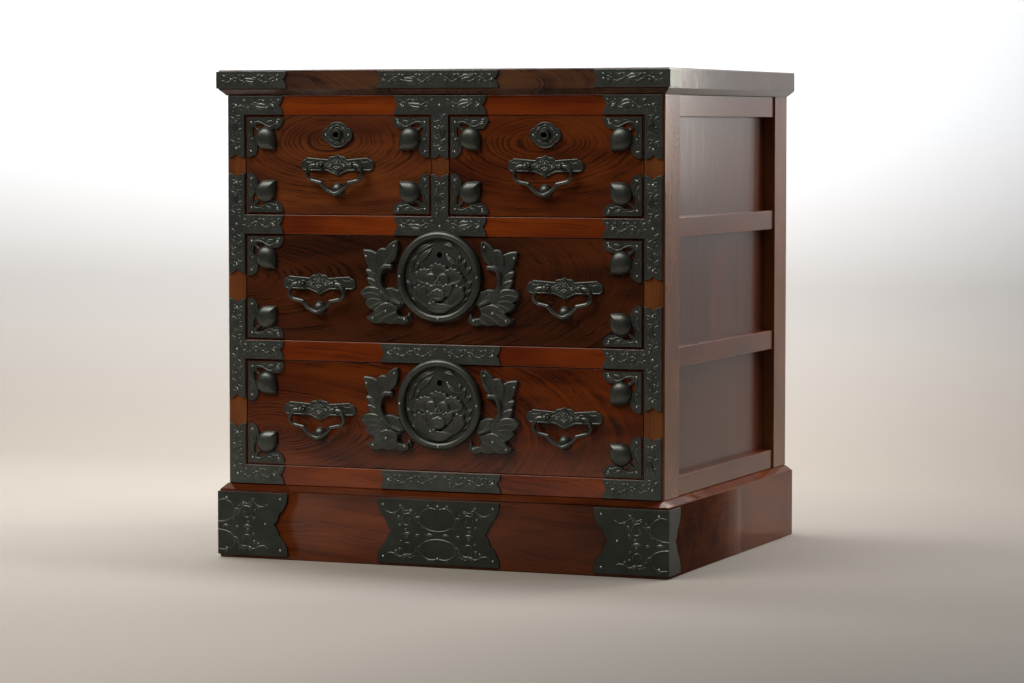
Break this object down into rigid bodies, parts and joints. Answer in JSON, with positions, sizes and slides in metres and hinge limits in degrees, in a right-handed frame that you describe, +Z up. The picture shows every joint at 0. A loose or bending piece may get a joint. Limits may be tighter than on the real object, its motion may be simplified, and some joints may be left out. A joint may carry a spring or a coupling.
{
  "type": "small tansu chest",
  "caption": "Framed tabletop chest on a plinth: small drawers over wide drawers that slide out, hinged drop bails, iron straps and plates, and locks with sliding bolts.",
  "frame": {"origin": "centre of the chest's outline, on the plane that the plinth stands on", "axes": "+Z up, -Y out of the drawer fronts, +X to the right of someone facing them"},
  "size_m": [0.5512, 0.4602, 0.56],
  "materials": {
    "lacquered_frame": "glossy red lacquer over hardwood",
    "figured_drawer_fronts": "glossy red-brown lacquer over figured hardwood",
    "lacquered_top_and_plinth": "glossy red-brown lacquer over hardwood",
    "lacquered_side_panels": "satin red-brown lacquer over hardwood",
    "drawer_linings": "bare planed softwood",
    "carcass_softwood": "bare planed softwood",
    "case_ironwork": "blackened, slightly worn",
    "drawer_ironwork": "blackened, chased relief",
    "forged_iron": "blackened, worn smooth where gripped",
    "lock_iron": "blackened, dull"
  },
  "bodies": {
    "case": {"back_battens": "carcass_softwood", "back_panel": "carcass_softwood", "bottom_board": "carcass_softwood", "centre_divider": "lacquered_frame", "centre_straps": "case_ironwork", "drawer_guides": "carcass_softwood", "dust_boards": "carcass_softwood", "front_rails": "lacquered_frame", "front_stile_left": "lacquered_frame", "front_stile_right": "lacquered_frame", "partition_board": "carcass_softwood", "plinth_boards": "lacquered_top_and_plinth", "plinth_plates": "case_ironwork", "rear_post_left": "lacquered_frame", "rear_post_right": "lacquered_frame", "side_panel_left": "lacquered_side_panels", "side_panel_right": "lacquered_side_panels", "side_rails_left": "lacquered_frame", "side_rails_right": "lacquered_frame", "stile_straps_left": "case_ironwork", "stile_straps_right": "case_ironwork", "top_board": "lacquered_top_and_plinth", "top_edge_plates": "case_ironwork"},
    "left_drawer": {"left_drawer_box": "drawer_linings", "left_drawer_corner_straps": "drawer_ironwork", "left_drawer_escutcheon": "drawer_ironwork", "left_drawer_front": "figured_drawer_fronts", "left_drawer_handle_plates": "drawer_ironwork", "left_drawer_lock_case": "lock_iron"},
    "left_drawer_bolt": {"left_drawer_lock_bolt": "forged_iron"},
    "left_drawer_bail": {"left_drawer_bail": "forged_iron"},
    "right_drawer": {"right_drawer_box": "drawer_linings", "right_drawer_corner_straps": "drawer_ironwork", "right_drawer_escutcheon": "drawer_ironwork", "right_drawer_front": "figured_drawer_fronts", "right_drawer_handle_plates": "drawer_ironwork", "right_drawer_lock_case": "lock_iron"},
    "right_drawer_bolt": {"right_drawer_lock_bolt": "forged_iron"},
    "right_drawer_bail": {"right_drawer_bail": "forged_iron"},
    "upper_wide_drawer": {"upper_wide_drawer_box": "drawer_linings", "upper_wide_drawer_corner_straps": "drawer_ironwork", "upper_wide_drawer_foliage": "drawer_ironwork", "upper_wide_drawer_front": "figured_drawer_fronts", "upper_wide_drawer_handle_plates": "drawer_ironwork", "upper_wide_drawer_lock_case": "lock_iron", "upper_wide_drawer_lock_plate": "drawer_ironwork"},
    "upper_wide_drawer_bolt": {"upper_wide_drawer_lock_bolt": "forged_iron"},
    "upper_wide_drawer_bail_left": {"upper_wide_drawer_bail_left": "forged_iron"},
    "upper_wide_drawer_bail_right": {"upper_wide_drawer_bail_right": "forged_iron"},
    "lower_wide_drawer": {"lower_wide_drawer_box": "drawer_linings", "lower_wide_drawer_corner_straps": "drawer_ironwork", "lower_wide_drawer_foliage": "drawer_ironwork", "lower_wide_drawer_front": "figured_drawer_fronts", "lower_wide_drawer_handle_plates": "drawer_ironwork", "lower_wide_drawer_lock_case": "lock_iron", "lower_wide_drawer_lock_plate": "drawer_ironwork"},
    "lower_wide_drawer_bolt": {"lower_wide_drawer_lock_bolt": "forged_iron"},
    "lower_wide_drawer_bail_left": {"lower_wide_drawer_bail_left": "forged_iron"},
    "lower_wide_drawer_bail_right": {"lower_wide_drawer_bail_right": "forged_iron"}
  },
  "joints": [
    {"name": "left_drawer_slide", "type": "slide", "parent": "case", "child": "left_drawer", "axis": [0, -1, 0], "range_m": [0, 0.32]},
    {"name": "left_drawer_bolt_slide", "type": "slide", "parent": "left_drawer", "child": "left_drawer_bolt", "axis": [0, 0, 1], "range_m": [0, 0.007]},
    {"name": "left_drawer_bail_hinge", "type": "hinge", "parent": "left_drawer", "child": "left_drawer_bail", "pos_m": [-0.1264, -0.2265, 0.4517], "axis": [-1, 0, 0], "range_deg": [0, 95]},
    {"name": "right_drawer_slide", "type": "slide", "parent": "case", "child": "right_drawer", "axis": [0, -1, 0], "range_m": [0, 0.32]},
    {"name": "right_drawer_bolt_slide", "type": "slide", "parent": "right_drawer", "child": "right_drawer_bolt", "axis": [0, 0, 1], "range_m": [0, 0.007]},
    {"name": "right_drawer_bail_hinge", "type": "hinge", "parent": "right_drawer", "child": "right_drawer_bail", "pos_m": [0.1264, -0.2265, 0.4517], "axis": [-1, 0, 0], "range_deg": [0, 95]},
    {"name": "upper_wide_drawer_slide", "type": "slide", "parent": "case", "child": "upper_wide_drawer", "axis": [0, -1, 0], "range_m": [0, 0.32]},
    {"name": "upper_wide_drawer_bolt_slide", "type": "slide", "parent": "upper_wide_drawer", "child": "upper_wide_drawer_bolt", "axis": [0, 0, 1], "range_m": [0, 0.007]},
    {"name": "upper_wide_drawer_bail_left_hinge", "type": "hinge", "parent": "upper_wide_drawer", "child": "upper_wide_drawer_bail_left", "pos_m": [-0.1495, -0.2265, 0.3171], "axis": [-1, 0, 0], "range_deg": [0, 95]},
    {"name": "upper_wide_drawer_bail_right_hinge", "type": "hinge", "parent": "upper_wide_drawer", "child": "upper_wide_drawer_bail_right", "pos_m": [0.1495, -0.2265, 0.3171], "axis": [-1, 0, 0], "range_deg": [0, 95]},
    {"name": "lower_wide_drawer_slide", "type": "slide", "parent": "case", "child": "lower_wide_drawer", "axis": [0, -1, 0], "range_m": [0, 0.32]},
    {"name": "lower_wide_drawer_bolt_slide", "type": "slide", "parent": "lower_wide_drawer", "child": "lower_wide_drawer_bolt", "axis": [0, 0, 1], "range_m": [0, 0.007]},
    {"name": "lower_wide_drawer_bail_left_hinge", "type": "hinge", "parent": "lower_wide_drawer", "child": "lower_wide_drawer_bail_left", "pos_m": [-0.1495, -0.2265, 0.1735], "axis": [-1, 0, 0], "range_deg": [0, 95]},
    {"name": "lower_wide_drawer_bail_right_hinge", "type": "hinge", "parent": "lower_wide_drawer", "child": "lower_wide_drawer_bail_right", "pos_m": [0.1495, -0.2265, 0.1735], "axis": [-1, 0, 0], "range_deg": [0, 95]}
  ]
}
